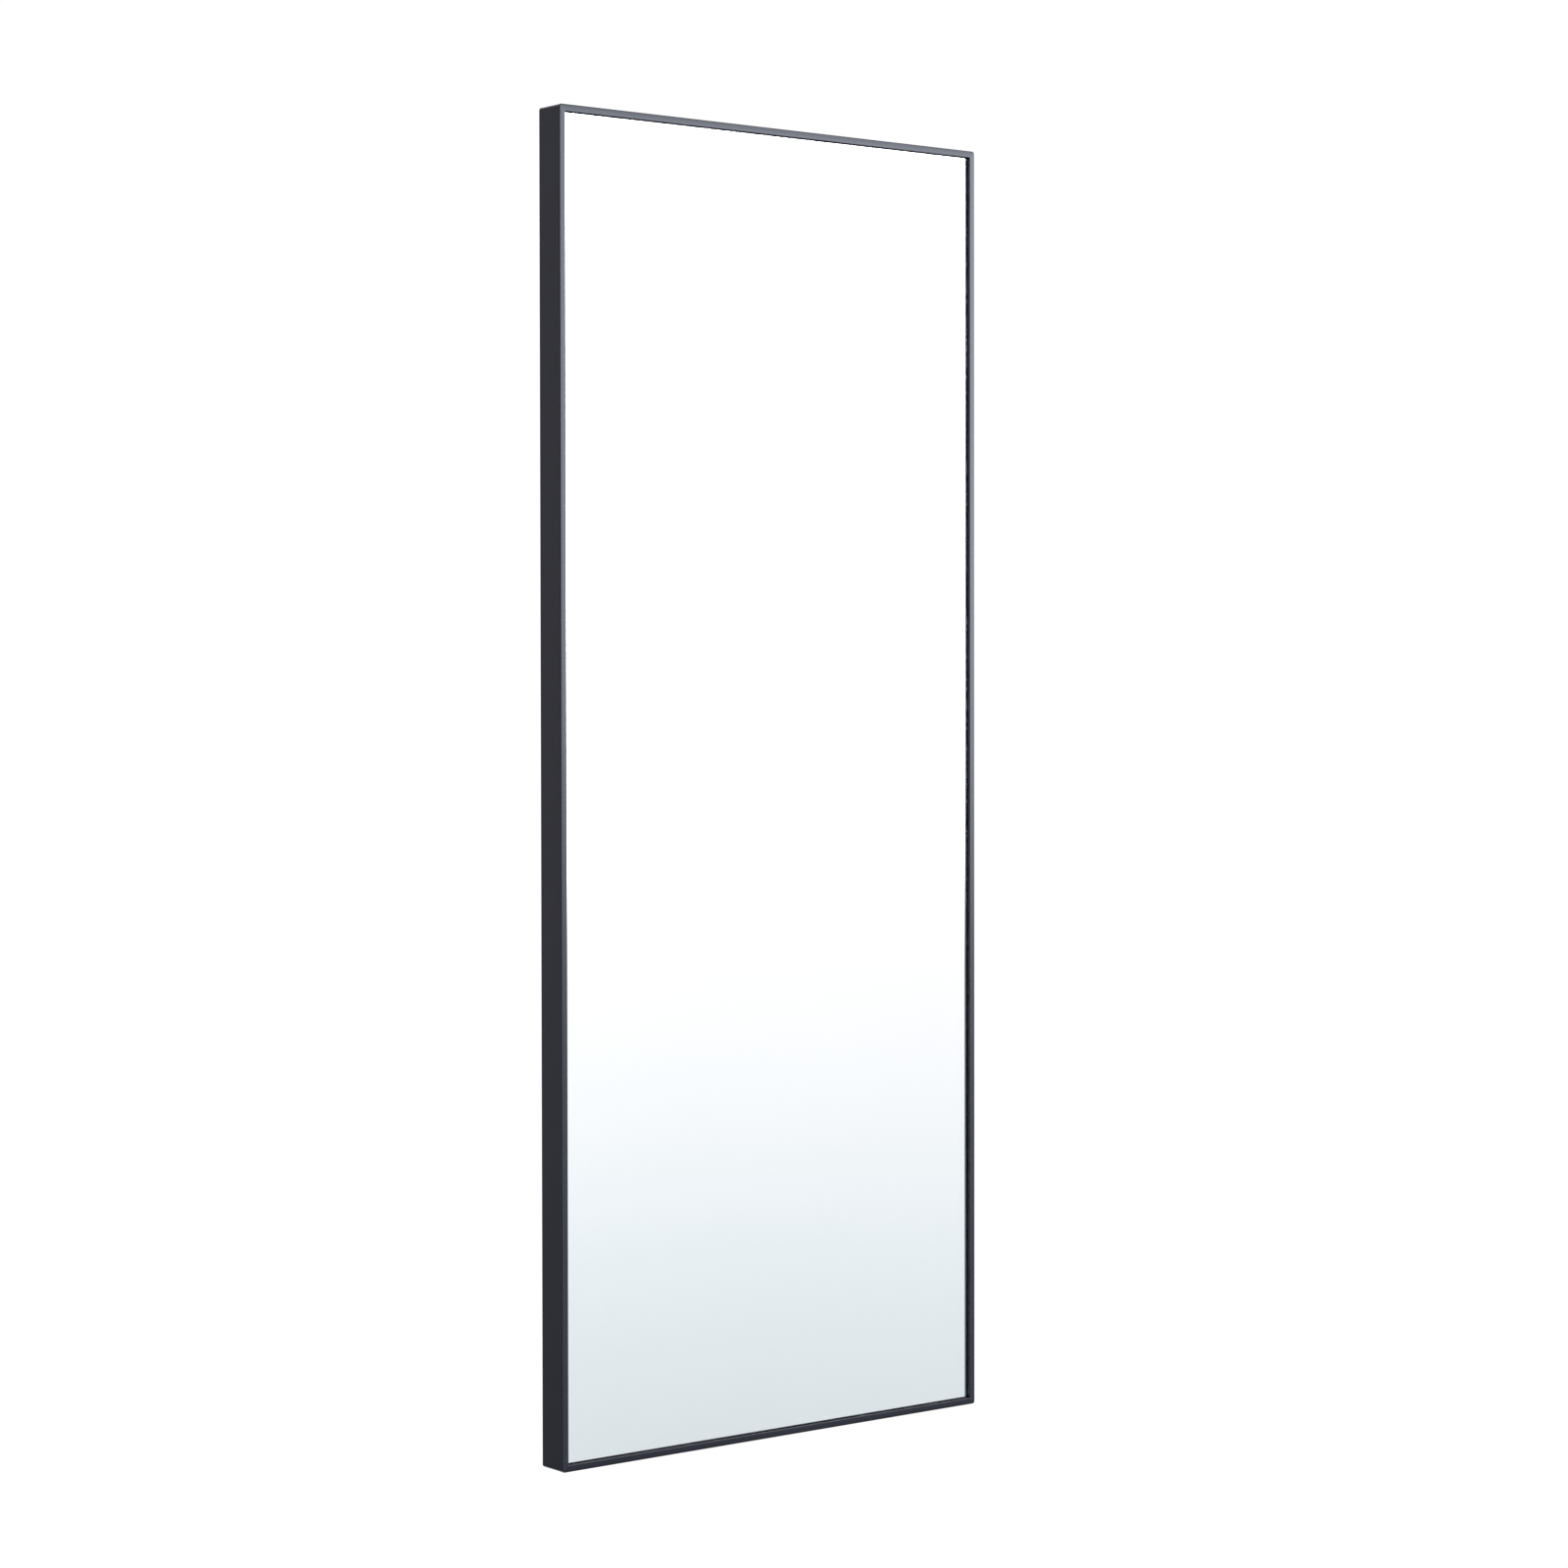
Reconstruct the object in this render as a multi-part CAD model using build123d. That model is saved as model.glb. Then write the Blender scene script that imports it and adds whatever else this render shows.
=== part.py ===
from build123d import *
import math
import os

# Frame axes: +X to the viewer's right, +Y towards the wall, +Z up.
# Origin: on the wall plane, behind the centre of the mirror. All sizes in millimetres.

# Overall size
WIDTH = 610.0
HEIGHT = 1524.0
FRAME_DEPTH = 40.0
BUMPER_PROUD = 1.0

# Section of the frame's extrusion
WALL = 1.6
FACE_WIDTH = 8.1
FACE_CROWN = 0.3
GLASS_RECESS = 3.4
CORNER_ROUND = 3.5
OUTER_ROUND = 1.2
LIP_ROUND = 0.6
REAR_ROUND = 0.35
CHAMBER_WIDTH = 16.4
CHAMBER_DEPTH = 10.4

# Mirror pack, from front to rear
GLASS_THICKNESS = 3.0
COAT_THICKNESS = 0.1
FILM_THICKNESS = 0.2
TAPE_THICKNESS = 1.0
BOARD_THICKNESS = 5.0
CLIP_RISE = 7.3
EDGE_GAP = 1.4
ARRIS = 0.4
COAT_INSET = 0.8

# Foam tapes, setting blocks and spring clips
TAPE_WIDTH = 25.0
TAPE_COUNT = 4
TAPE_END_GAP = 45.0
BLOCK_LENGTH = 60.0
BLOCK_SPACING = 305.0
CLIP_LENGTH = 52.0
CLIP_WIDTH = 14.0
CLIP_THICKNESS = 0.7
CLIP_FOOT = 6.0
CLIP_CROWN = 12.0
STILE_CLIP_COUNT = 5
RAIL_CLIP_COUNT = 2

# Corner keys and their screws
KEY_CLEARANCE = 0.2
KEY_LEG = 62.0
KEY_CHAMFER = 3.0
KEY_SCREW_OFFSETS = (31.0, 51.0)
SCREW_R = 2.0
SCREW_FIT = 0.05
WEB_HOLE_R = 2.2
HEAD_R = 3.6
HEAD_HEIGHT = 2.2
CORNER_SCREW_LENGTH = 10.0
DRIVE_WIDTH = 0.9
DRIVE_SPAN = 3.8
DRIVE_DEPTH = 1.2

# Hangers: a folded strap and a D-shaped ring each
RING_DROP_FROM_TOP = 250.0
RING_WIRE_R = 1.5
RING_HALF_WIDTH = 9.0
RING_HEIGHT = 28.0
RING_CORNER_R = 2.5
RING_FIT = 0.05
RING_WALL_GAP = 0.4
STRAP_THICKNESS = 1.0
STRAP_WIDTH = 12.0
STRAP_HOLE_DROP = 11.0
HANGER_SCREW_LENGTH = 9.0

# Wall bumpers
BUMPER_R = 5.0
BUMPER_FROM_END = 100.0
BUMPER_TAPER = 0.6

# Planes of the section, as depths behind the frame's front face
COAT_AT = GLASS_RECESS + GLASS_THICKNESS
FILM_AT = COAT_AT + COAT_THICKNESS
TAPE_AT = FILM_AT + FILM_THICKNESS
BOARD_AT = TAPE_AT + TAPE_THICKNESS
CLIP_AT = BOARD_AT + BOARD_THICKNESS
CHAMBER_AT = CLIP_AT + CLIP_RISE
WEB_AT = CHAMBER_AT + WALL + CHAMBER_DEPTH
WEB_REAR = WEB_AT + WALL
SECTION_WIDTH = WALL + CHAMBER_WIDTH + WALL
CHAMBER_MIDDLE = WALL + CHAMBER_WIDTH / 2
PACK_INSET = WALL + EDGE_GAP
FRONT_Y = -BUMPER_PROUD - FRAME_DEPTH
CROWN_R = (FACE_WIDTH**2 + FACE_CROWN**2) / (2 * FACE_CROWN)

# How far a cutting tool runs past what it cuts
OVERRUN = 1.0

# The hanger's axis stands off the web by the radius of the strap's loop
LOOP_INNER_R = RING_WIRE_R + RING_FIT
LOOP_OUTER_R = LOOP_INNER_R + STRAP_THICKNESS
HANGER_X = WIDTH / 2 - WALL - RING_WALL_GAP - RING_HALF_WIDTH - RING_WIRE_R
HANGER_Z = HEIGHT / 2 - RING_DROP_FROM_TOP
HANGER_Y = FRONT_Y + WEB_REAR + LOOP_OUTER_R

SIDES = {"bottom_rail": 0, "right_stile": -90, "top_rail": 180, "left_stile": 90}
CORNERS = {
    "top_left": (-1, 1),
    "top_right": (1, 1),
    "bottom_left": (-1, -1),
    "bottom_right": (1, -1),
}


def y_at(depth):
    return FRONT_Y + depth


def is_stile(side):
    return side.endswith("stile")


def outline(points, plane):
    return plane * make_face(Polyline(*points, close=True))


def slab(width, height, depth_from, depth_to):
    middle = (y_at(depth_from) + y_at(depth_to)) / 2
    return Pos(0, middle, 0) * Box(width, depth_to - depth_from, height)


def rod(x, z, radius, depth_from, depth_to):
    middle = (y_at(depth_from) + y_at(depth_to)) / 2
    cylinder = Cylinder(radius, depth_to - depth_from)
    return Pos(x, middle, z) * Rot(90, 0, 0) * cylinder


def place(shape, side):
    # Shapes for a side are drawn with its outer face at z = 0 and the mirror above it.
    half_span = (WIDTH if is_stile(side) else HEIGHT) / 2
    return Rot(0, SIDES[side], 0) * Pos(0, 0, -half_span) * shape


def even_spots(count, length):
    pitch = length / count
    return [pitch * (i - (count - 1) / 2) for i in range(count)]


def rail_section():
    # Points are (depth, inward), the same order as the section plane's axes. The front is drawn
    # proud of the frame, because the envelope cuts the crown.
    points = [
        (y_at(-OVERRUN), 0),
        (y_at(-OVERRUN), FACE_WIDTH),
        (y_at(GLASS_RECESS), FACE_WIDTH),
        (y_at(GLASS_RECESS), FACE_WIDTH - WALL),
        (y_at(WALL), FACE_WIDTH - WALL),
        (y_at(WALL), WALL),
        (y_at(CHAMBER_AT), WALL),
        (y_at(CHAMBER_AT), SECTION_WIDTH),
        (y_at(WEB_REAR), SECTION_WIDTH),
        (y_at(WEB_REAR), WALL),
        (y_at(FRAME_DEPTH), WALL),
        (y_at(FRAME_DEPTH), 0),
    ]
    section = make_face(Polyline(*points, close=True))
    chamber = Pos(y_at(WEB_AT - CHAMBER_DEPTH / 2), CHAMBER_MIDDLE) * Rectangle(CHAMBER_DEPTH, CHAMBER_WIDTH)
    return Plane.YZ * (section - chamber)


def crown_waste():
    # What lies in front of a side's crown, which is flush at the glass and falls back outwards.
    middle = CROWN_R - math.sqrt(CROWN_R**2 - (FACE_WIDTH / 2) ** 2)
    edge = [
        ThreePointArc((y_at(0), FACE_WIDTH), (y_at(middle), FACE_WIDTH / 2), (y_at(FACE_CROWN), 0)),
        Line((y_at(FACE_CROWN), 0), (y_at(FACE_CROWN), -OVERRUN)),
        Line((y_at(FACE_CROWN), -OVERRUN), (y_at(-OVERRUN), -OVERRUN)),
        Line((y_at(-OVERRUN), -OVERRUN), (y_at(-OVERRUN), FACE_WIDTH)),
        Line((y_at(-OVERRUN), FACE_WIDTH), (y_at(0), FACE_WIDTH)),
    ]
    return extrude(Plane.YZ * make_face(Wire(edge)), amount=HEIGHT, both=True)


def envelope():
    # The frame's outer form, with its crown, corners and edges. Every rail is cut to it.
    block = slab(WIDTH, HEIGHT, 0, FRAME_DEPTH)
    for side in SIDES:
        block -= place(crown_waste(), side)
    block = fillet(block.edges().filter_by(Axis.Y), CORNER_ROUND)
    walls = [face for face in block.faces() if abs(face.normal_at().Y) < 0.5]
    rim = [edge for face in walls for edge in face.edges() if edge.center().Y < y_at(OUTER_ROUND)]
    block = fillet(rim, OUTER_ROUND)
    rear = block.faces().filter_by(Axis.Y).sort_by(Axis.Y)[-1]
    return fillet(rear.edges(), REAR_ROUND)


def make_rail(side, form):
    length = HEIGHT if is_stile(side) else WIDTH
    bar = extrude(rail_section(), amount=length / 2, both=True)
    reach = SECTION_WIDTH + OVERRUN
    mitre = [
        (-length / 2, 0),
        (length / 2, 0),
        (length / 2 - reach, reach),
        (-length / 2 + reach, reach),
    ]
    prism = extrude(outline(mitre, Plane.XZ), amount=2 * FRAME_DEPTH, both=True)
    rail = place(bar & prism, side) & form
    lip = place(Vertex(0, y_at(0), FACE_WIDTH), side)
    return fillet(rail.edges().sort_by_distance(lip)[0], LIP_ROUND)


def corner_point(corner, inward_x, inward_z):
    sign_x, sign_z = CORNERS[corner]
    return sign_x * (WIDTH / 2 - inward_x), sign_z * (HEIGHT / 2 - inward_z)


def key_screw_points(corner):
    points = [corner_point(corner, offset, CHAMBER_MIDDLE) for offset in KEY_SCREW_OFFSETS]
    points += [corner_point(corner, CHAMBER_MIDDLE, offset) for offset in KEY_SCREW_OFFSETS]
    return points


def make_corner_key(corner):
    near = WALL + KEY_CLEARANCE
    far = WALL + CHAMBER_WIDTH - KEY_CLEARANCE
    shape = [
        (near + KEY_CHAMFER, near),
        (KEY_LEG, near),
        (KEY_LEG, far),
        (far, far),
        (far, KEY_LEG),
        (near, KEY_LEG),
        (near, near + KEY_CHAMFER),
    ]
    front = WEB_AT - CHAMBER_DEPTH + KEY_CLEARANCE
    rear = WEB_AT - KEY_CLEARANCE
    points = [corner_point(corner, *point) for point in shape]
    face = outline(points, Plane.XZ)
    key = extrude(face, amount=(rear - front) / 2, both=True)
    key = Pos(0, y_at((front + rear) / 2), 0) * key
    for x, z in key_screw_points(corner):
        key -= rod(x, z, SCREW_R + SCREW_FIT, front - OVERRUN, rear + OVERRUN)
    return key


def make_screw(x, z, seat, length):
    head = rod(x, z, HEAD_R, seat, seat + HEAD_HEIGHT)
    top_edge = head.edges().filter_by(GeomType.CIRCLE).sort_by(Axis.Y)[-1]
    head = fillet(top_edge, HEAD_HEIGHT / 2)
    shank = rod(x, z, SCREW_R, seat - length, seat + HEAD_HEIGHT / 4)
    tip_edge = shank.edges().filter_by(GeomType.CIRCLE).sort_by(Axis.Y)[0]
    shank = chamfer(tip_edge, SCREW_R / 2)
    screw = head + shank
    drive_y = y_at(seat + HEAD_HEIGHT)
    for angle in (45, 135):
        slot = Rot(0, angle, 0) * Box(DRIVE_SPAN, 2 * DRIVE_DEPTH, DRIVE_WIDTH)
        screw -= Pos(x, drive_y, z) * slot
    return screw


def make_glass():
    pane = slab(WIDTH - 2 * PACK_INSET, HEIGHT - 2 * PACK_INSET, GLASS_RECESS, COAT_AT)
    return chamfer(pane.edges(), ARRIS)


def make_sheet(depth_from, thickness):
    inset = PACK_INSET + COAT_INSET
    return slab(WIDTH - 2 * inset, HEIGHT - 2 * inset, depth_from, depth_from + thickness)


def make_tapes():
    height = HEIGHT - 2 * (PACK_INSET + TAPE_END_GAP)
    strip = slab(TAPE_WIDTH, height, TAPE_AT, BOARD_AT)
    spots = even_spots(TAPE_COUNT, WIDTH - 2 * PACK_INSET)
    return [Pos(x, 0, 0) * strip for x in spots]


def make_setting_blocks():
    block = slab(BLOCK_LENGTH, EDGE_GAP, GLASS_RECESS, CLIP_AT)
    drop = HEIGHT / 2 - WALL - EDGE_GAP / 2
    return [Pos(sign * BLOCK_SPACING / 2, 0, -drop) * block for sign in (-1, 1)]


def make_board():
    return slab(WIDTH - 2 * PACK_INSET, HEIGHT - 2 * PACK_INSET, BOARD_AT, CLIP_AT)


def make_clip():
    foot = y_at(CLIP_AT)
    crown = y_at(CHAMBER_AT) - CLIP_THICKNESS
    half = CLIP_LENGTH / 2
    lower = [
        (-half, foot),
        (-half + CLIP_FOOT, foot),
        (-CLIP_CROWN / 2, crown),
        (CLIP_CROWN / 2, crown),
        (half - CLIP_FOOT, foot),
        (half, foot),
    ]
    upper = [(x, y + CLIP_THICKNESS) for x, y in reversed(lower)]
    face = outline(lower + upper, Plane.XY)
    clip = extrude(face, amount=CLIP_WIDTH / 2, both=True)
    return Pos(0, 0, PACK_INSET + CLIP_WIDTH / 2) * clip


def make_clips():
    clips = []
    for side in SIDES:
        count = STILE_CLIP_COUNT if is_stile(side) else RAIL_CLIP_COUNT
        length = HEIGHT if is_stile(side) else WIDTH
        spots = even_spots(count, length - 2 * SECTION_WIDTH)
        clips += [place(Pos(spot, 0, 0) * make_clip(), side) for spot in spots]
    return clips


def make_strap(sign):
    # Drawn with the ring's axis at the origin and the web behind it, then moved to its stile.
    web = -LOOP_OUTER_R
    end = -STRAP_HOLE_DROP - STRAP_WIDTH / 2
    loop = Circle(LOOP_OUTER_R)
    plate = Pos(web + STRAP_THICKNESS, end / 2) * Rectangle(2 * STRAP_THICKNESS, -end)
    side_view = loop + plate - Circle(LOOP_INNER_R)
    strap = extrude(Plane.YZ * side_view, amount=STRAP_WIDTH / 2, both=True)
    crop = Pos(0, -STRAP_HOLE_DROP) * Circle(STRAP_WIDTH / 2)
    crop += Pos(0, (LOOP_OUTER_R - STRAP_HOLE_DROP) / 2) * Rectangle(
        STRAP_WIDTH, LOOP_OUTER_R + STRAP_HOLE_DROP
    )
    strap &= extrude(Plane.XZ * crop, amount=LOOP_OUTER_R, both=True)
    hole = Pos(0, 0, -STRAP_HOLE_DROP) * Rot(90, 0, 0) * Cylinder(WEB_HOLE_R, 4 * LOOP_OUTER_R)
    return Pos(sign * HANGER_X, HANGER_Y, HANGER_Z) * (strap - hole)


def make_ring(sign):
    half, corner, drop = RING_HALF_WIDTH, RING_CORNER_R, RING_HEIGHT - RING_HALF_WIDTH
    turn = corner * (1 - math.sqrt(0.5))
    path = Wire(
        [
            Line((0, 0), (half - corner, 0)),
            ThreePointArc((half - corner, 0), (half - turn, -turn), (half, -corner)),
            Line((half, -corner), (half, -drop)),
            ThreePointArc((half, -drop), (0, -RING_HEIGHT), (-half, -drop)),
            Line((-half, -drop), (-half, -corner)),
            ThreePointArc((-half, -corner), (-half + turn, -turn), (-half + corner, 0)),
            Line((-half + corner, 0), (0, 0)),
        ]
    )
    wire = sweep(Plane.YZ * Circle(RING_WIRE_R), path=Plane.XZ * path)
    return Pos(sign * HANGER_X, HANGER_Y, HANGER_Z) * wire


def hanger_hole(sign):
    return sign * HANGER_X, HANGER_Z - STRAP_HOLE_DROP


def make_bumper(sign_x, sign_z):
    height = FRAME_DEPTH + BUMPER_PROUD - WEB_REAR
    cone = Rot(-90, 0, 0) * Cone(BUMPER_R, BUMPER_R - BUMPER_TAPER, height)
    x = sign_x * (WIDTH / 2 - CHAMBER_MIDDLE)
    z = sign_z * (HEIGHT / 2 - BUMPER_FROM_END)
    return Pos(x, y_at(WEB_REAR + height / 2), z) * cone


frame_form = envelope()
parts = {side: make_rail(side, frame_form) for side in SIDES}
for side in SIDES:
    for corner in CORNERS:
        for x, z in key_screw_points(corner):
            parts[side] -= rod(x, z, WEB_HOLE_R, WEB_AT - OVERRUN, WEB_REAR + OVERRUN)
for side, sign in (("left_stile", -1), ("right_stile", 1)):
    x, z = hanger_hole(sign)
    parts[side] -= rod(x, z, SCREW_R + SCREW_FIT, WEB_AT - OVERRUN, WEB_REAR + OVERRUN)

for corner in CORNERS:
    parts["corner_key_" + corner] = make_corner_key(corner)
parts["corner_screws"] = [
    make_screw(x, z, WEB_REAR, CORNER_SCREW_LENGTH)
    for corner in CORNERS
    for x, z in key_screw_points(corner)
]

parts["glass_pane"] = make_glass()
parts["silver_coat"] = make_sheet(COAT_AT, COAT_THICKNESS)
parts["safety_film"] = make_sheet(FILM_AT, FILM_THICKNESS)
parts["foam_tapes"] = make_tapes()
parts["setting_blocks"] = make_setting_blocks()
parts["backing_board"] = make_board()
parts["spring_clips"] = make_clips()

parts["hanger_strap_left"] = make_strap(-1)
parts["hanger_strap_right"] = make_strap(1)
parts["hanger_ring_left"] = make_ring(-1)
parts["hanger_ring_right"] = make_ring(1)
parts["hanger_screws"] = [
    make_screw(*hanger_hole(sign), WEB_REAR + 2 * STRAP_THICKNESS, HANGER_SCREW_LENGTH) for sign in (-1, 1)
]
parts["wall_bumpers"] = [make_bumper(sign_x, sign_z) for sign_x in (-1, 1) for sign_z in (-1, 1)]

os.makedirs("parts", exist_ok=True)
for name, part in parts.items():
    solids = part if isinstance(part, list) else [part]
    export_step(Compound([solid for shape in solids for solid in shape.solids()]), f"parts/{name}.step")
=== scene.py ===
import logging
import math
from dataclasses import dataclass, field
from enum import Enum
from typing import Protocol

import bmesh
import bpy
from mathutils import Matrix, Vector


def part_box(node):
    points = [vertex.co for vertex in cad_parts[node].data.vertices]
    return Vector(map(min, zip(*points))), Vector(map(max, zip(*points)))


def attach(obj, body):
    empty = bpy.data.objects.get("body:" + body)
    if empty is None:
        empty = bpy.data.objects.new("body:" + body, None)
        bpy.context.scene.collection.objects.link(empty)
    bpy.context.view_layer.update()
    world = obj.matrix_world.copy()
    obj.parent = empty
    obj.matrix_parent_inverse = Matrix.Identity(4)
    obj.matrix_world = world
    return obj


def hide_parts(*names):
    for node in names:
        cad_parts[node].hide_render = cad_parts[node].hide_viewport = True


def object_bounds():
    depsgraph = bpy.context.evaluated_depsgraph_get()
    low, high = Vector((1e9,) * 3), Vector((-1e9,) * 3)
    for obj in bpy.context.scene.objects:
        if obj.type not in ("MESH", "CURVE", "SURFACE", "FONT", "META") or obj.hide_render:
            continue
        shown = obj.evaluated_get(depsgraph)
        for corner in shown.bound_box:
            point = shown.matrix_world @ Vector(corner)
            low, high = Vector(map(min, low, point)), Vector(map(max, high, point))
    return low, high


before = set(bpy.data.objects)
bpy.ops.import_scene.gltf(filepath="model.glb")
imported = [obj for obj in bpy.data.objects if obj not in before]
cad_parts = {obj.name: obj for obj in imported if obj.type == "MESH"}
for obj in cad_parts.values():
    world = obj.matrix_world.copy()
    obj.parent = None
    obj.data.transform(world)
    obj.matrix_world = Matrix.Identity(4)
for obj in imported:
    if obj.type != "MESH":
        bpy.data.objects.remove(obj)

CAD_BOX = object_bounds()
LOG = logging.getLogger("wall_mirror")

Span = tuple[float, float]
Triple = tuple[float, float, float]
Socket = bpy.types.NodeSocket

UNIT_SPAN: Span = (0.0, 1.0)
UP: Triple = (0.0, 0.0, 1.0)


class Hand(Enum):
    """The two sides of the mirror, as the viewer sees it."""

    LEFT = "left"
    RIGHT = "right"


class Maths(Enum):
    """The calculations that the node trees do."""

    ADD = "ADD"
    MULTIPLY = "MULTIPLY"
    ABSOLUTE = "ABSOLUTE"


@dataclass(frozen=True)
class Grain:
    """One layer of fractal noise: features per metre, octaves, their weight and the axes' factors."""

    scale: float
    detail: float = 3.0
    rough: float = 0.5
    stretch: Triple = (1.0, 1.0, 1.0)


@dataclass(frozen=True)
class Relief:
    """How far a value raises a surface: a height in metres and the share of its slope."""

    height: float
    strength: float


class Canvas:
    """A material's node tree with short ways to add and join nodes."""

    def __init__(self, name: str) -> None:
        """Makes an empty node material.

        Args:
            name: The material's name.
        """
        self.material = bpy.data.materials.new(name)
        self.material.use_nodes = True
        self.tree = self.material.node_tree
        self.tree.nodes.clear()
        self.shader = self.tree.nodes.new("ShaderNodeBsdfPrincipled")
        output = self.tree.nodes.new("ShaderNodeOutputMaterial")
        self.join(self.shader.outputs["BSDF"], output.inputs["Surface"])
        self.place = self.tree.nodes.new("ShaderNodeTexCoord").outputs["Object"]

    def join(self, source: Socket, target: Socket) -> None:
        """Links one socket to another."""
        self.tree.links.new(source, target)

    def colour(self, source: Socket) -> None:
        """Uses a socket as the surface's colour."""
        self.join(source, self.shader.inputs["Base Color"])

    def roughness(self, source: Socket) -> None:
        """Uses a socket as the surface's roughness."""
        self.join(source, self.shader.inputs["Roughness"])

    def set(self, **values: float | tuple[float, ...]) -> None:
        """Sets uniform values on the shader's own sockets.

        Args:
            values: Socket names with underscores for spaces, and their values.
        """
        for name, value in values.items():
            self.shader.inputs[name.replace("_", " ")].default_value = value

    def noise(self, grain: Grain) -> Socket:
        """A fractal noise in the object's own metres.

        Args:
            grain: The noise's size and character.

        Returns:
            The noise value's socket.
        """
        scaled = self.tree.nodes.new("ShaderNodeMapping")
        scaled.inputs["Scale"].default_value = grain.stretch
        self.join(self.place, scaled.inputs["Vector"])
        node = self.tree.nodes.new("ShaderNodeTexNoise")
        node.inputs["Scale"].default_value = grain.scale
        node.inputs["Detail"].default_value = grain.detail
        node.inputs["Roughness"].default_value = grain.rough
        self.join(scaled.outputs["Vector"], node.inputs["Vector"])
        return node.outputs["Fac"]

    def cells(self, scale: float) -> Socket:
        """The distance field of a cell pattern.

        Args:
            scale: Cells per metre.

        Returns:
            The distance socket.
        """
        node = self.tree.nodes.new("ShaderNodeTexVoronoi")
        node.inputs["Scale"].default_value = scale
        self.join(self.place, node.inputs["Vector"])
        return node.outputs["Distance"]

    def axes(self) -> tuple[Socket, Socket, Socket]:
        """The object coordinates, one by one.

        Returns:
            The sockets of X, Y and Z.
        """
        node = self.tree.nodes.new("ShaderNodeSeparateXYZ")
        self.join(self.place, node.inputs["Vector"])
        return node.outputs["X"], node.outputs["Y"], node.outputs["Z"]

    def maths(self, kind: Maths, *values: Socket) -> Socket:
        """Calculates with one or two values.

        Args:
            kind: The calculation.
            values: What it works on.

        Returns:
            The result's socket.
        """
        node = self.tree.nodes.new("ShaderNodeMath")
        node.operation = kind.value
        for value, target in zip(values, node.inputs):
            self.join(value, target)
        return node.outputs["Value"]

    def fade(self, source: Socket, edge: Span, low: float, high: float) -> Socket:
        """Maps a range of a value onto another range.

        Args:
            source: The value.
            edge: Where the fade starts and ends.
            low: The result at the start and before it.
            high: The result at the end and after it.

        Returns:
            The mapped socket.
        """
        node = self.tree.nodes.new("ShaderNodeMapRange")
        for name, value in zip(("From Min", "From Max", "To Min", "To Max"), (*edge, low, high)):
            node.inputs[name].default_value = value
        self.join(source, node.inputs["Value"])
        return node.outputs["Result"]

    def ramp(self, source: Socket, span: Span = UNIT_SPAN, middle: Span = (0.3, 0.7)) -> Socket:
        """Maps a noise's middle range onto two values.

        Args:
            source: A value between 0 and 1.
            span: The results at the two ends of the middle range.
            middle: The range in which most of a noise lies.

        Returns:
            The mapped socket.
        """
        return self.fade(source, middle, *span)

    def blend(self, source: Socket, first: Triple | Socket, second: Triple) -> Socket:
        """Blends two colours by a value.

        Args:
            source: The value between 0 and 1.
            first: The colour at 0, or the socket that holds it.
            second: The colour at 1.

        Returns:
            The colour socket.
        """
        node = self.tree.nodes.new("ShaderNodeMix")
        node.data_type = "RGBA"
        if isinstance(first, bpy.types.NodeSocket):
            self.join(first, node.inputs["A"])
        else:
            node.inputs["A"].default_value = (*first, 1.0)
        node.inputs["B"].default_value = (*second, 1.0)
        self.join(source, node.inputs["Factor"])
        return node.outputs["Result"]

    def bump(self, source: Socket, relief: Relief) -> None:
        """Raises the surface by a value.

        Args:
            source: The value between 0 and 1.
            relief: The height that 1 stands for, and its strength.
        """
        node = self.tree.nodes.new("ShaderNodeBump")
        node.inputs["Strength"].default_value = relief.strength
        node.inputs["Distance"].default_value = relief.height
        self.join(source, node.inputs["Height"])
        self.join(node.outputs["Normal"], self.shader.inputs["Normal"])


class Finish(Protocol):
    """What every finish can do."""

    def build(self) -> bpy.types.Material:
        """Makes the finish's material."""
        ...


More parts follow.
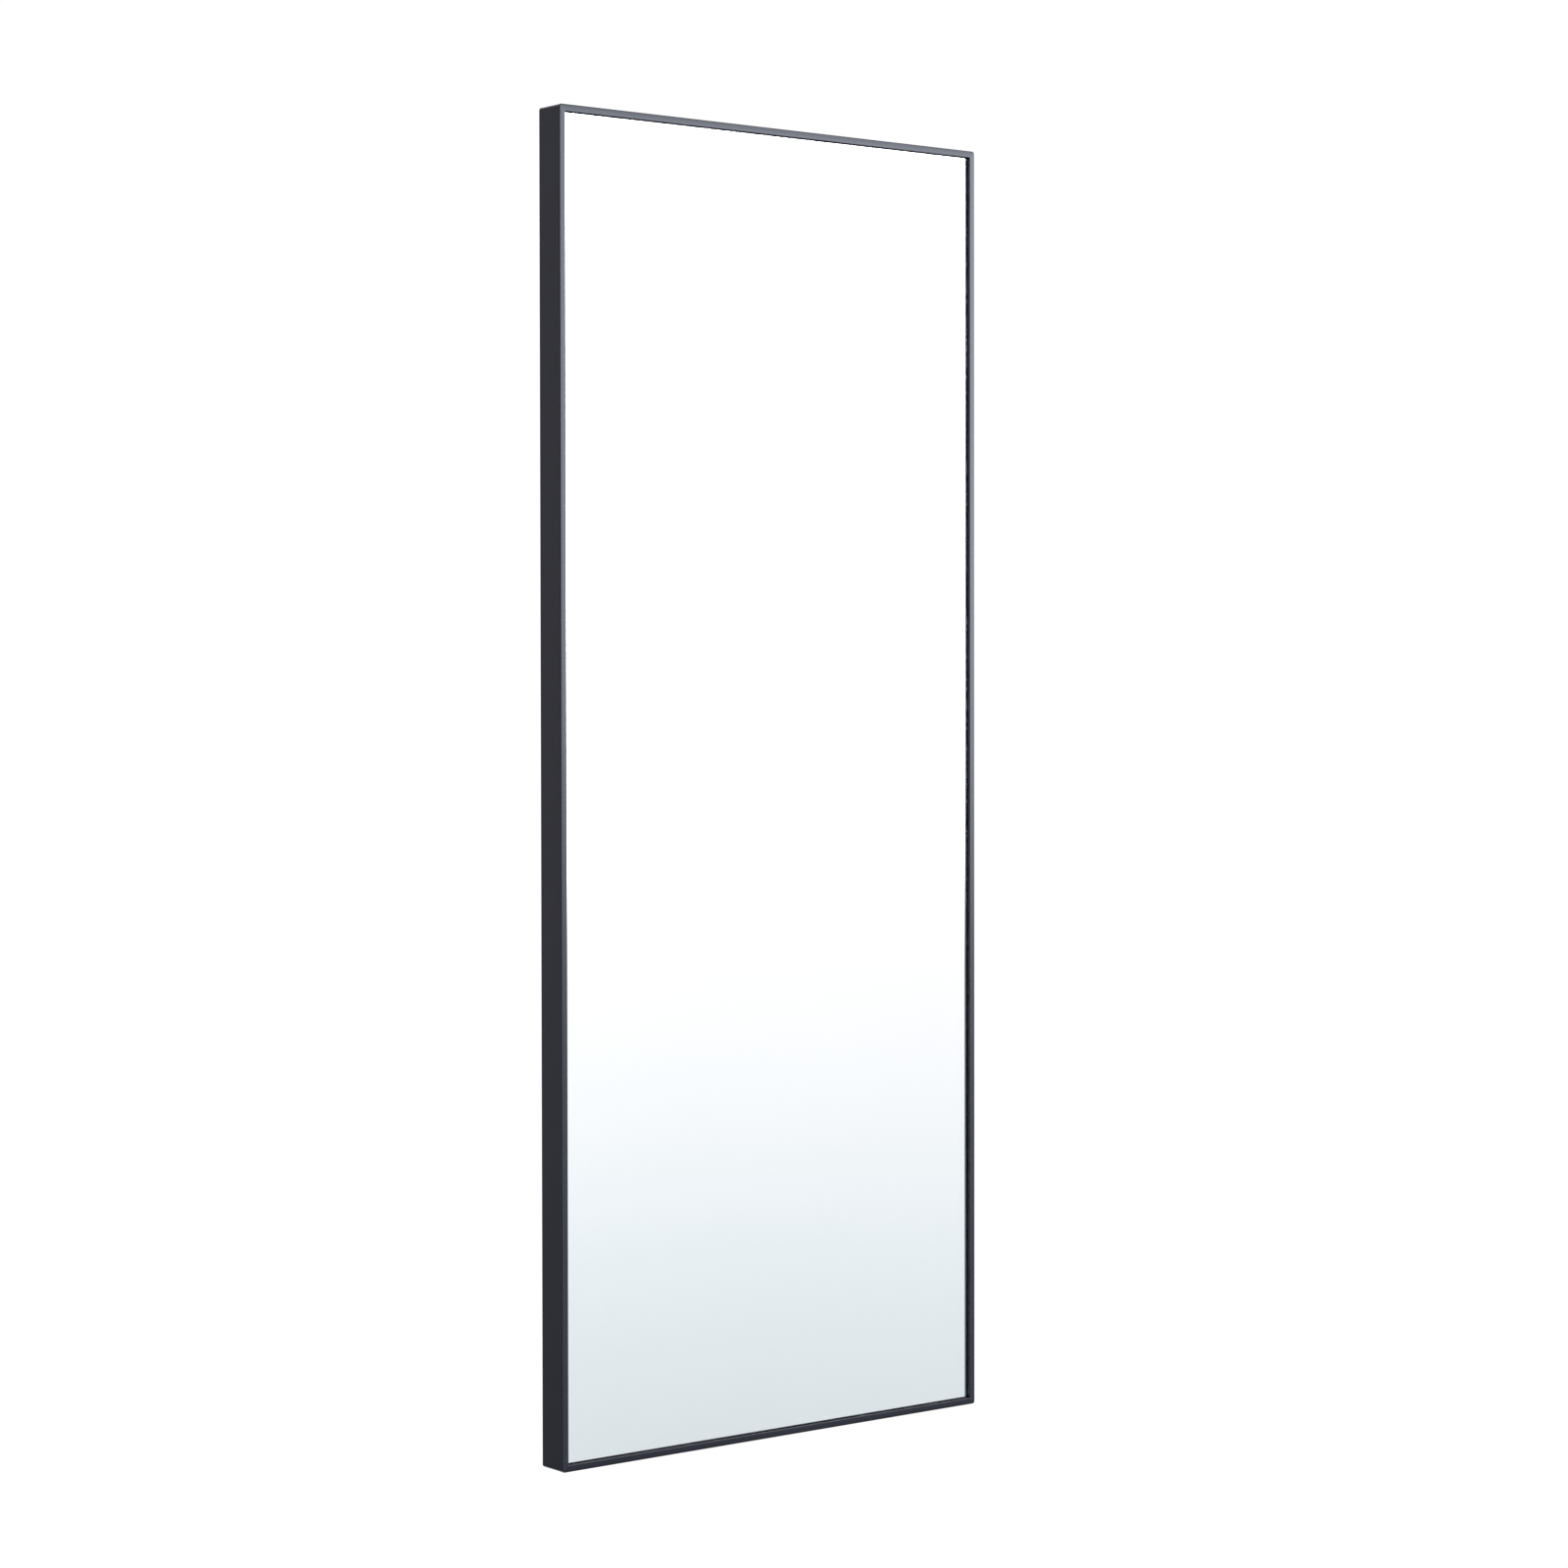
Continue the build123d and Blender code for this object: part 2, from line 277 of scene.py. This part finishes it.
@dataclass(frozen=True)
class SatinPowderCoat:
    """Black satin powder coat on the extruded frame."""

    name: str = "satin_powder_coat"
    dark: Triple = (0.0048, 0.0040, 0.0084)
    light: Triple = (0.0072, 0.0060, 0.0124)
    sheen: Triple = (0.81, 0.925, 1.0)
    rough: Span = (0.18, 0.22)
    ior: float = 1.5
    gloss: float = 0.5
    patches: Grain = Grain(35.0, 4.0)
    grain: Grain = Grain(420.0, 2.0)
    peel: Grain = Grain(900.0, 2.0)
    relief: Relief = Relief(0.00001, 0.35)
    # Painted shade: the flat tone of the reveal's top and bottom walls.
    reveal_painted_shade: Triple = (0.040, 0.042, 0.052)
    reveal_half: float = 0.2965
    reveal_top: Span = (0.7534, 0.7544)
    reveal_start: float = 0.0002
    reveal_fade: float = 0.0004

    def build(self) -> bpy.types.Material:
        """Makes a near black with a fine, even grain; on the reveal's top and bottom walls it paints
        shade, with no reflection and a flat painted tone.

        Returns:
            The material.
        """
        canvas = Canvas(self.name)
        canvas.set(IOR=self.ior, Specular_Tint=(*self.sheen, 1.0))
        coat = canvas.blend(canvas.ramp(canvas.noise(self.patches)), self.dark, self.light)
        reveal = self.reveal(canvas)
        # Painted shade: the reveal's top and bottom walls take a flat painted tone in place of the
        # coat.
        canvas.colour(canvas.blend(reveal, coat, self.reveal_painted_shade))
        canvas.roughness(canvas.ramp(canvas.noise(self.grain), self.rough))
        # Painted shade: the reveal's top and bottom walls lose their reflection.
        gloss = canvas.fade(reveal, UNIT_SPAN, self.gloss, 0.0)
        canvas.join(gloss, canvas.shader.inputs["Specular IOR Level"])
        canvas.bump(canvas.noise(self.peel), self.relief)
        return canvas.material

    def reveal(self, canvas: Canvas) -> Socket:
        """Tells the level walls between the front face and the glass, where shade is painted, from the
        rest.

        Args:
            canvas: The material's canvas.

        Returns:
            The socket that is 1 on the reveal's top and bottom walls, where shade is painted, and 0
            elsewhere.
        """
        across, depth, upward = canvas.axes()
        across, upward = canvas.maths(Maths.ABSOLUTE, across), canvas.maths(Maths.ABSOLUTE, upward)
        front = CAD_BOX[0].y + self.reveal_start
        low, high = self.reveal_top
        mask = canvas.fade(depth, (front, front + self.reveal_fade), 0.0, 1.0)
        for inside in (
            canvas.fade(across, (self.reveal_half, self.reveal_half + self.reveal_fade), 1.0, 0.0),
            canvas.fade(upward, (low - self.reveal_fade, low), 0.0, 1.0),
            canvas.fade(upward, (high, high + self.reveal_fade), 1.0, 0.0),
        ):
            mask = canvas.maths(Maths.MULTIPLY, mask, inside)
        return mask


@dataclass(frozen=True)
class FloatGlass:
    """Clear float glass with a faint green body."""

    name: str = "float_glass"
    tint: Triple = (0.955, 0.980, 0.965)
    ior: float = 1.52
    wander: Grain = Grain(2.5, 1.0)
    relief: Relief = Relief(0.00001, 0.01)

    def build(self) -> bpy.types.Material:
        """Makes a clear, almost perfectly flat glass.

        Returns:
            The material.
        """
        canvas = Canvas(self.name)
        canvas.set(Base_Color=(*self.tint, 1.0), IOR=self.ior, Roughness=0.0, Transmission_Weight=1.0)
        canvas.bump(canvas.noise(self.wander), self.relief)
        return canvas.material


@dataclass(frozen=True)
class Silver:
    """The silver layer, seen through the glass."""

    name: str = "silver_layer"
    bright: Triple = (0.945, 0.947, 0.940)
    dull: Triple = (0.935, 0.937, 0.930)
    rough: float = 0.004
    wander: Grain = Grain(3.0, 2.0)

    def build(self) -> bpy.types.Material:
        """Makes a clean mirror metal whose tone barely wanders.

        Returns:
            The material.
        """
        canvas = Canvas(self.name)
        canvas.set(Metallic=1.0, Roughness=self.rough)
        canvas.colour(canvas.blend(canvas.ramp(canvas.noise(self.wander)), self.bright, self.dull))
        return canvas.material


@dataclass(frozen=True)
class ZincPlate:
    """Bright zinc plate on steel."""

    name: str = "zinc_plate"
    dark: Triple = (0.50, 0.50, 0.48)
    light: Triple = (0.68, 0.68, 0.66)
    rough: Span = (0.22, 0.42)
    clouds: Grain = Grain(260.0, 5.0)
    streaks: Grain = Grain(500.0)
    spangle: Grain = Grain(1400.0, 2.0)
    relief: Relief = Relief(0.00002, 0.3)

    def build(self) -> bpy.types.Material:
        """Makes a metal with a cloudy, faintly spangled plate.

        Returns:
            The material.
        """
        canvas = Canvas(self.name)
        canvas.set(Metallic=1.0)
        canvas.colour(canvas.blend(canvas.ramp(canvas.noise(self.clouds)), self.dark, self.light))
        canvas.roughness(canvas.ramp(canvas.noise(self.streaks), self.rough))
        canvas.bump(canvas.noise(self.spangle), self.relief)
        return canvas.material


@dataclass(frozen=True)
class BluedSpringSteel:
    """Blue-grey spring steel strip, rolled along its length."""

    name: str = "blued_spring_steel"
    dark: Triple = (0.10, 0.12, 0.17)
    light: Triple = (0.20, 0.22, 0.26)
    rough: Span = (0.28, 0.45)
    lines: Grain = Grain(900.0, 3.0, 0.6, (1.0, 0.1, 0.1))
    relief: Relief = Relief(0.00002, 0.4)

    def build(self) -> bpy.types.Material:
        """Makes a dark metal with rolling lines.

        Returns:
            The material.
        """
        canvas = Canvas(self.name)
        canvas.set(Metallic=1.0)
        lines = canvas.noise(self.lines)
        canvas.colour(canvas.blend(canvas.ramp(lines), self.dark, self.light))
        canvas.roughness(canvas.ramp(lines, self.rough))
        canvas.bump(lines, self.relief)
        return canvas.material


@dataclass(frozen=True)
class CastAlloy:
    """Light alloy as it comes out of the die."""

    name: str = "cast_alloy"
    dark: Triple = (0.30, 0.31, 0.32)
    light: Triple = (0.46, 0.47, 0.48)
    rough: Span = (0.45, 0.62)
    clouds: Grain = Grain(180.0, 6.0, 0.6)
    skin: Grain = Grain(1600.0, 4.0)
    relief: Relief = Relief(0.00006, 0.5)

    def build(self) -> bpy.types.Material:
        """Makes a dull, grainy metal.

        Returns:
            The material.
        """
        canvas = Canvas(self.name)
        canvas.set(Metallic=1.0)
        clouds = canvas.noise(self.clouds)
        canvas.colour(canvas.blend(canvas.ramp(clouds), self.dark, self.light))
        canvas.roughness(canvas.ramp(clouds, self.rough))
        canvas.bump(canvas.noise(self.skin), self.relief)
        return canvas.material


@dataclass(frozen=True)
class Fibreboard:
    """Plain medium-density fibreboard."""

    name: str = "fibreboard"
    dark: Triple = (0.300, 0.200, 0.120)
    light: Triple = (0.440, 0.315, 0.200)
    shade: Triple = (0.260, 0.165, 0.092)
    ior: float = 1.45
    rough: Span = (0.68, 0.82)
    fibres: Grain = Grain(420.0, 8.0, 0.7, (1.0, 1.0, 0.35))
    clouds: Grain = Grain(9.0, 5.0, 0.6)
    cloud_edge: Span = (0.40, 0.75)
    cloud_depth: float = 0.5
    sanding: Grain = Grain(60.0, 4.0)
    relief: Relief = Relief(0.00012, 0.5)

    def build(self) -> bpy.types.Material:
        """Makes a brown board with short fibres, soft clouds and faint sanding marks.

        Returns:
            The material.
        """
        canvas = Canvas(self.name)
        canvas.set(IOR=self.ior)
        fibres = canvas.noise(self.fibres)
        board = canvas.blend(canvas.ramp(fibres), self.dark, self.light)
        clouds = canvas.fade(canvas.noise(self.clouds), self.cloud_edge, 0.0, self.cloud_depth)
        canvas.colour(canvas.blend(clouds, board, self.shade))
        canvas.roughness(canvas.ramp(canvas.noise(self.sanding), self.rough))
        canvas.bump(fibres, self.relief)
        return canvas.material


@dataclass(frozen=True)
class MouldedRubber:
    """Black moulded rubber."""

    name: str = "moulded_rubber"
    dark: Triple = (0.018, 0.018, 0.018)
    light: Triple = (0.034, 0.033, 0.032)
    ior: float = 1.48
    rough: Span = (0.62, 0.80)
    speckle: Grain = Grain(700.0, 4.0)
    relief: Relief = Relief(0.00005, 0.5)

    def build(self) -> bpy.types.Material:
        """Makes a matt black with a fine texture.

        Returns:
            The material.
        """
        canvas = Canvas(self.name)
        canvas.set(IOR=self.ior)
        speckle = canvas.noise(self.speckle)
        canvas.colour(canvas.blend(canvas.ramp(speckle), self.dark, self.light))
        canvas.roughness(canvas.ramp(speckle, self.rough))
        canvas.bump(speckle, self.relief)
        return canvas.material


@dataclass(frozen=True)
class ClosedCellFoam:
    """White closed-cell foam tape."""

    name: str = "closed_cell_foam"
    dark: Triple = (0.70, 0.70, 0.68)
    light: Triple = (0.84, 0.84, 0.82)
    ior: float = 1.4
    rough: Span = (0.75, 0.9)
    pits_per_metre: float = 2200.0
    softness: Grain = Grain(300.0)
    relief: Relief = Relief(0.00015, 0.6)

    def build(self) -> bpy.types.Material:
        """Makes a pale, pitted foam.

        Returns:
            The material.
        """
        canvas = Canvas(self.name)
        canvas.set(IOR=self.ior)
        pits = canvas.cells(self.pits_per_metre)
        canvas.colour(canvas.blend(pits, self.dark, self.light))
        canvas.roughness(canvas.ramp(canvas.noise(self.softness), self.rough))
        canvas.bump(pits, self.relief)
        return canvas.material


@dataclass(frozen=True)
class VinylFilm:
    """The grey safety film on the back of the pane."""

    name: str = "vinyl_film"
    dark: Triple = (0.44, 0.46, 0.47)
    light: Triple = (0.52, 0.54, 0.55)
    ior: float = 1.5
    rough: Span = (0.32, 0.48)
    creases: Grain = Grain(40.0, 5.0)
    relief: Relief = Relief(0.0003, 0.3)

    def build(self) -> bpy.types.Material:
        """Makes a smooth film with small creases.

        Returns:
            The material.
        """
        canvas = Canvas(self.name)
        canvas.set(IOR=self.ior)
        creases = canvas.noise(self.creases)
        canvas.colour(canvas.blend(canvas.ramp(creases), self.dark, self.light))
        canvas.roughness(canvas.ramp(creases, self.rough))
        canvas.bump(creases, self.relief)
        return canvas.material


@dataclass(frozen=True)
class StudioFloor:
    """Pale, matt studio floor."""

    name: str = "studio_floor"
    dark: Triple = (0.86, 0.83, 0.77)
    light: Triple = (0.89, 0.86, 0.80)
    ior: float = 1.3
    rough: Span = (0.7, 0.8)
    patches: Grain = Grain(0.8, 2.0)
    scuffs: Grain = Grain(3.0)

    def build(self) -> bpy.types.Material:
        """Makes an even, pale floor.

        Returns:
            The material.
        """
        canvas = Canvas(self.name)
        canvas.set(IOR=self.ior)
        canvas.colour(canvas.blend(canvas.ramp(canvas.noise(self.patches)), self.dark, self.light))
        canvas.roughness(canvas.ramp(canvas.noise(self.scuffs), self.rough))
        return canvas.material


def new_piece(name: str, mesh: bmesh.types.BMesh, material: bpy.types.Material) -> bpy.types.Object:
    """Turns mesh code into a piece of the scene.

    Args:
        name: The piece's name.
        mesh: The finished mesh, which is freed.
        material: The piece's finish.

    Returns:
        The new object.
    """
    data = bpy.data.meshes.new(name)
    mesh.to_mesh(data)
    mesh.free()
    data.materials.append(material)
    piece = bpy.data.objects.new(name, data)
    bpy.context.scene.collection.objects.link(piece)
    return piece


def dress(node: str, material: bpy.types.Material) -> None:
    """Gives a carried node its finish.

    Args:
        node: The node's name.
        material: The finish.
    """
    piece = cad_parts[node]
    piece.data.materials.clear()
    piece.data.materials.append(material)
    LOG.info("%s dressed in %s", node, material.name)


@dataclass
class MetalFrame:
    """The four mitred rails."""

    rails: tuple[str, ...] = ("left_stile", "right_stile", "top_rail", "bottom_rail")
    coat: Finish = field(default_factory=SatinPowderCoat)

    def build(self) -> None:
        """Coats the rails."""
        coat = self.coat.build()
        for rail in self.rails:
            dress(rail, coat)


@dataclass
class CornerJoints:
    """The keys in the rails' chambers and the screws that hold them."""

    corners: tuple[str, ...] = ("top_left", "top_right", "bottom_left", "bottom_right")
    alloy: Finish = field(default_factory=CastAlloy)

    def build(self, plate: bpy.types.Material) -> None:
        """Dresses the keys and the screws.

        Args:
            plate: The screws' zinc plate.
        """
        alloy = self.alloy.build()
        for corner in self.corners:
            dress(f"corner_key_{corner}", alloy)
        dress("corner_screws", plate)


@dataclass
class GlassPane:
    """The float glass pane, cut square with a ground and polished pencil edge."""

    node: str = "glass_pane"
    air: float = 0.00004
    corner_radius: float = 0.0012
    edge_radius: float = 0.0007
    edge_steps: int = 4
    edge_profile: float = 0.5
    glass: Finish = field(default_factory=FloatGlass)

    def outline(self, low: Vector, high: Vector) -> list[Span]:
        """The pane's outline seen from the front, with its corners taken off.

        Args:
            low: The node's lowest corner.
            high: The node's highest corner.

        Returns:
            Points in X and Z, going round once.
        """
        points = []
        corners = ((high.x, high.z), (low.x, high.z), (low.x, low.z), (high.x, low.z))
        for quarter, (x, z) in enumerate(corners):
            centre_x = x - math.copysign(self.corner_radius, x)
            centre_z = z - math.copysign(self.corner_radius, z)
            for step in range(self.edge_steps + 1):
                angle = (quarter + step / self.edge_steps) * math.pi / 2
                along_x = self.corner_radius * math.cos(angle)
                along_z = self.corner_radius * math.sin(angle)
                points.append((centre_x + along_x, centre_z + along_z))
        return points

    def build(self) -> None:
        """Makes the pane, a hair clear of what touches it, and dresses it."""
        low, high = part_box(self.node)
        mesh = bmesh.new()
        front, rear = low.y + self.air, high.y - self.air
        ring = [mesh.verts.new((x, front, z)) for x, z in self.outline(low, high)]
        pushed = bmesh.ops.extrude_face_region(mesh, geom=[mesh.faces.new(ring)])["geom"]
        moved = [part for part in pushed if isinstance(part, bmesh.types.BMVert)]
        bmesh.ops.translate(mesh, verts=moved, vec=(0.0, rear - front, 0.0))
        bmesh.ops.recalc_face_normals(mesh, faces=mesh.faces[:])
        rims = [edge for edge in mesh.edges if abs(edge.verts[0].co.y - edge.verts[1].co.y) < self.air]
        bmesh.ops.bevel(
            mesh,
            geom=rims,
            offset=self.edge_radius,
            segments=self.edge_steps,
            profile=self.edge_profile,
            affect="EDGES",
        )
        piece = new_piece("pane", mesh, self.glass.build())
        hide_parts(self.node)
        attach(piece, "frame")
        LOG.info("pane built, %d faces", len(piece.data.polygons))


@dataclass
class MirrorPack:
    """The pane, its layers and what holds it in the frame."""

    pane: GlassPane = field(default_factory=GlassPane)
    silver: Finish = field(default_factory=Silver)
    film: Finish = field(default_factory=VinylFilm)
    foam: Finish = field(default_factory=ClosedCellFoam)
    board: Finish = field(default_factory=Fibreboard)
    steel: Finish = field(default_factory=BluedSpringSteel)

    def build(self, rubber: bpy.types.Material) -> None:
        """Dresses the pack from front to rear.

        Args:
            rubber: The setting blocks' rubber.
        """
        self.pane.build()
        dress("silver_coat", self.silver.build())
        dress("safety_film", self.film.build())
        dress("foam_tapes", self.foam.build())
        dress("setting_blocks", rubber)
        dress("backing_board", self.board.build())
        dress("spring_clips", self.steel.build())


@dataclass
class Hangers:
    """The straps and rings that the mirror hangs by, and the bumpers that keep it off the wall."""

    hands: tuple[Hand, ...] = (Hand.LEFT, Hand.RIGHT)

    def build(self, plate: bpy.types.Material, rubber: bpy.types.Material) -> None:
        """Dresses straps, rings, screws and bumpers.

        Args:
            plate: The zinc plate of the metal pieces.
            rubber: The bumpers' rubber.
        """
        for hand in self.hands:
            dress(f"hanger_strap_{hand.value}", plate)
            dress(f"hanger_ring_{hand.value}", plate)
        dress("hanger_screws", plate)
        dress("wall_bumpers", rubber)


class Sky:
    """The world's node tree with short ways to say where light comes from."""

    def __init__(self) -> None:
        """Makes an empty world and gives it to the scene."""
        world = bpy.data.worlds.new("studio")
        bpy.context.scene.world = world
        world.use_nodes = True
        self.tree = world.node_tree
        self.tree.nodes.clear()
        self.way = self.tree.nodes.new("ShaderNodeTexCoord").outputs["Generated"]

    def fade(self, side: Triple, edge: Span, low: float, high: float) -> Socket:
        """A value that goes smoothly from low to high across an edge that faces one side.

        Args:
            side: The direction in which the value rises.
            edge: The cosines to that direction where the fade starts and ends.
            low: The value before the edge.
            high: The value after it.

        Returns:
            The value's socket.
        """
        dot = self.tree.nodes.new("ShaderNodeVectorMath")
        dot.operation = "DOT_PRODUCT"
        dot.inputs[1].default_value = side
        self.tree.links.new(self.way, dot.inputs[0])
        step = self.tree.nodes.new("ShaderNodeMapRange")
        step.interpolation_type = "SMOOTHSTEP"
        for name, value in zip(("From Min", "From Max", "To Min", "To Max"), (*edge, low, high)):
            step.inputs[name].default_value = value
        self.tree.links.new(dot.outputs["Value"], step.inputs["Value"])
        return step.outputs["Result"]

    def combine(self, kind: Maths, *values: Socket) -> Socket:
        """Joins values with sums or products.

        Args:
            kind: The calculation, a sum or a product.
            values: Two values or more.

        Returns:
            The result's socket.
        """
        result = values[0]
        for value in values[1:]:
            node = self.tree.nodes.new("ShaderNodeMath")
            node.operation = kind.value
            self.tree.links.new(result, node.inputs[0])
            self.tree.links.new(value, node.inputs[1])
            result = node.outputs["Value"]
        return result

    def blend(self, source: Socket, first: Triple, second: Triple) -> Socket:
        """Blends two colours by a value.

        Args:
            source: The value between 0 and 1.
            first: The colour at 0.
            second: The colour at 1.

        Returns:
            The colour's socket.
        """
        node = self.tree.nodes.new("ShaderNodeMix")
        node.data_type = "RGBA"
        node.inputs["A"].default_value = (*first, 1.0)
        node.inputs["B"].default_value = (*second, 1.0)
        self.tree.links.new(source, node.inputs["Factor"])
        return node.outputs["Result"]

    def shine(self, colour: Socket, strength: Socket, backdrop: float) -> None:
        """Lights the scene, with a plain white backdrop for the camera itself.

        Args:
            colour: The light's colour.
            strength: The light's strength.
            backdrop: The strength of the white that the camera sees.
        """
        soft = self.tree.nodes.new("ShaderNodeBackground")
        self.tree.links.new(colour, soft.inputs["Color"])
        self.tree.links.new(strength, soft.inputs["Strength"])
        plain = self.tree.nodes.new("ShaderNodeBackground")
        plain.inputs["Color"].default_value = (1.0, 1.0, 1.0, 1.0)
        plain.inputs["Strength"].default_value = backdrop
        path = self.tree.nodes.new("ShaderNodeLightPath")
        mix = self.tree.nodes.new("ShaderNodeMixShader")
        output = self.tree.nodes.new("ShaderNodeOutputWorld")
        self.tree.links.new(path.outputs["Is Camera Ray"], mix.inputs["Fac"])
        self.tree.links.new(soft.outputs["Background"], mix.inputs[1])
        self.tree.links.new(plain.outputs["Background"], mix.inputs[2])
        self.tree.links.new(mix.outputs["Shader"], output.inputs["Surface"])


@dataclass
class Studio:
    """The floor and soft light all round, with a large soft box in front and to the right."""

    floor_height: float = -1.5
    floor_radius: float = 1.0
    floor_sides: int = 96
    floor: Finish = field(default_factory=StudioFloor)
    backdrop: float = 1.02
    dark_side: float = 0.41
    bright_side: float = 1.17
    dim_below: float = 0.62
    dim_edge: Span = (-0.30, -0.04)
    dark_below: float = 0.4
    dark_edge: Span = (-0.34, -0.215)
    box_strength: float = 5.7
    box_aim: Triple = (0.6158, -0.788, 0.0)
    box_spread: Span = (0.35, 0.85)
    box_left_edge: Span = (-0.33, -0.01)
    box_left_side: Triple = (0.829, 0.559, 0.0)
    box_foot: Span = (-0.085, -0.01)
    box_top: Span = (0.13, 0.33)
    box_top_share: float = 0.15
    fill: float = 0.35
    fill_aim: Triple = (-0.6, -0.8, 0.0)
    fill_spread: Span = (0.2, 0.8)
    rear: float = 1.3
    rear_aim: Triple = (0.6, 0.8, 0.0)
    rear_spread: Span = (0.3, 0.9)
    top: float = 0.8
    top_edge: Span = (0.5, 0.95)
    tint: Triple = (1.02, 0.985, 1.05)
    low_tint: Triple = (0.952, 0.98, 1.05)
    tint_edge: Span = (-0.19, -0.09)

    def build(self) -> None:
        """Sets up everything that isn't the object."""
        self.build_floor()
        self.build_light()

    def build_floor(self) -> None:
        """Lays the pale round floor."""
        mesh = bmesh.new()
        lift = Matrix.Translation((0.0, 0.0, self.floor_height))
        bmesh.ops.create_circle(
            mesh, cap_ends=True, segments=self.floor_sides, radius=self.floor_radius, matrix=lift
        )
        floor = new_piece("studio_floor", mesh, self.floor.build())
        LOG.info("floor laid at %.2f m", self.floor_height)

    def build_light(self) -> None:
        """Makes the soft light all round, which the camera itself sees as plain white."""
        sky = Sky()
        strength = sky.combine(Maths.ADD, self.room(sky), self.soft_box(sky), *self.fills(sky))
        colour = sky.blend(sky.fade(UP, self.tint_edge, *UNIT_SPAN), self.low_tint, self.tint)
        sky.shine(colour, strength, self.backdrop)
        LOG.info("studio light made")

    def room(self, sky: Sky) -> Socket:
        """The room's walls, brighter in front and dimmer below.

        Args:
            sky: The world's tree.

        Returns:
            Their strength's socket.
        """
        return sky.combine(
            Maths.MULTIPLY,
            sky.fade(self.box_aim, self.box_spread, self.dark_side, self.bright_side),
            sky.fade(UP, self.dim_edge, self.dim_below, 1.0),
            sky.fade(UP, self.dark_edge, self.dark_below, 1.0),
        )

    def soft_box(self, sky: Sky) -> Socket:
        """The large soft box in front and to the right, with its left edge, foot and top.

        Args:
            sky: The world's tree.

        Returns:
            Its strength's socket.
        """
        return sky.combine(
            Maths.MULTIPLY,
            sky.fade(self.box_aim, self.box_spread, 0.0, self.box_strength),
            sky.fade(self.box_left_side, self.box_left_edge, *UNIT_SPAN),
            sky.fade(UP, self.box_foot, *UNIT_SPAN),
            sky.fade(UP, self.box_top, 1.0, self.box_top_share),
        )

    def fills(self, sky: Sky) -> tuple[Socket, Socket, Socket]:
        """The weaker lights overhead, beside the camera and behind to the right.

        Args:
            sky: The world's tree.

        Returns:
            Their strengths' sockets.
        """
        return (
            sky.fade(UP, self.top_edge, 0.0, self.top),
            sky.fade(self.fill_aim, self.fill_spread, 0.0, self.fill),
            sky.fade(self.rear_aim, self.rear_spread, 0.0, self.rear),
        )


@dataclass
class Viewpoint:
    """The photograph's camera."""

    place: Triple = (-2.5551, -3.3126, 0.1351)
    yaw: float = -0.66493
    pitch: float = -0.01909
    roll: float = 0.00129
    sensor: float = 36.0
    lens: float = 81.900
    shift_up: float = -0.03
    near: float = 0.05
    far: float = 200.0

    def build(self) -> None:
        """Makes the camera and sets the plain picture transform."""
        data = bpy.data.cameras.new("camera")
        data.sensor_width = self.sensor
        data.lens = self.lens
        data.shift_y = self.shift_up
        data.clip_start = self.near
        data.clip_end = self.far
        camera = bpy.data.objects.new("camera", data)
        scene = bpy.context.scene
        scene.collection.objects.link(camera)
        camera.matrix_world = self.basis()
        scene.camera = camera
        scene.view_settings.view_transform = "Standard"
        LOG.info("camera placed")

    def basis(self) -> Matrix:
        """The camera's place and the way that it looks.

        Returns:
            Its matrix in the world.
        """
        turn = Matrix.Rotation(self.yaw, 3, "Z") @ Matrix.Rotation(self.pitch, 3, "X")
        turn = turn @ Matrix.Rotation(self.roll, 3, "Y")
        right, ahead, up = turn.col
        basis = Matrix((right, up, -ahead)).transposed().to_4x4()
        basis.translation = self.place
        return basis


def main() -> None:
    """Dresses the mirror, sets the studio and reports each piece."""
    logging.basicConfig(level=logging.INFO, format="%(name)s: %(message)s")
    plate = ZincPlate().build()
    rubber = MouldedRubber().build()
    MetalFrame().build()
    CornerJoints().build(plate)
    MirrorPack().build(rubber)
    Hangers().build(plate, rubber)
    Studio().build()
    Viewpoint().build()


if __name__ == "__main__":
    main()
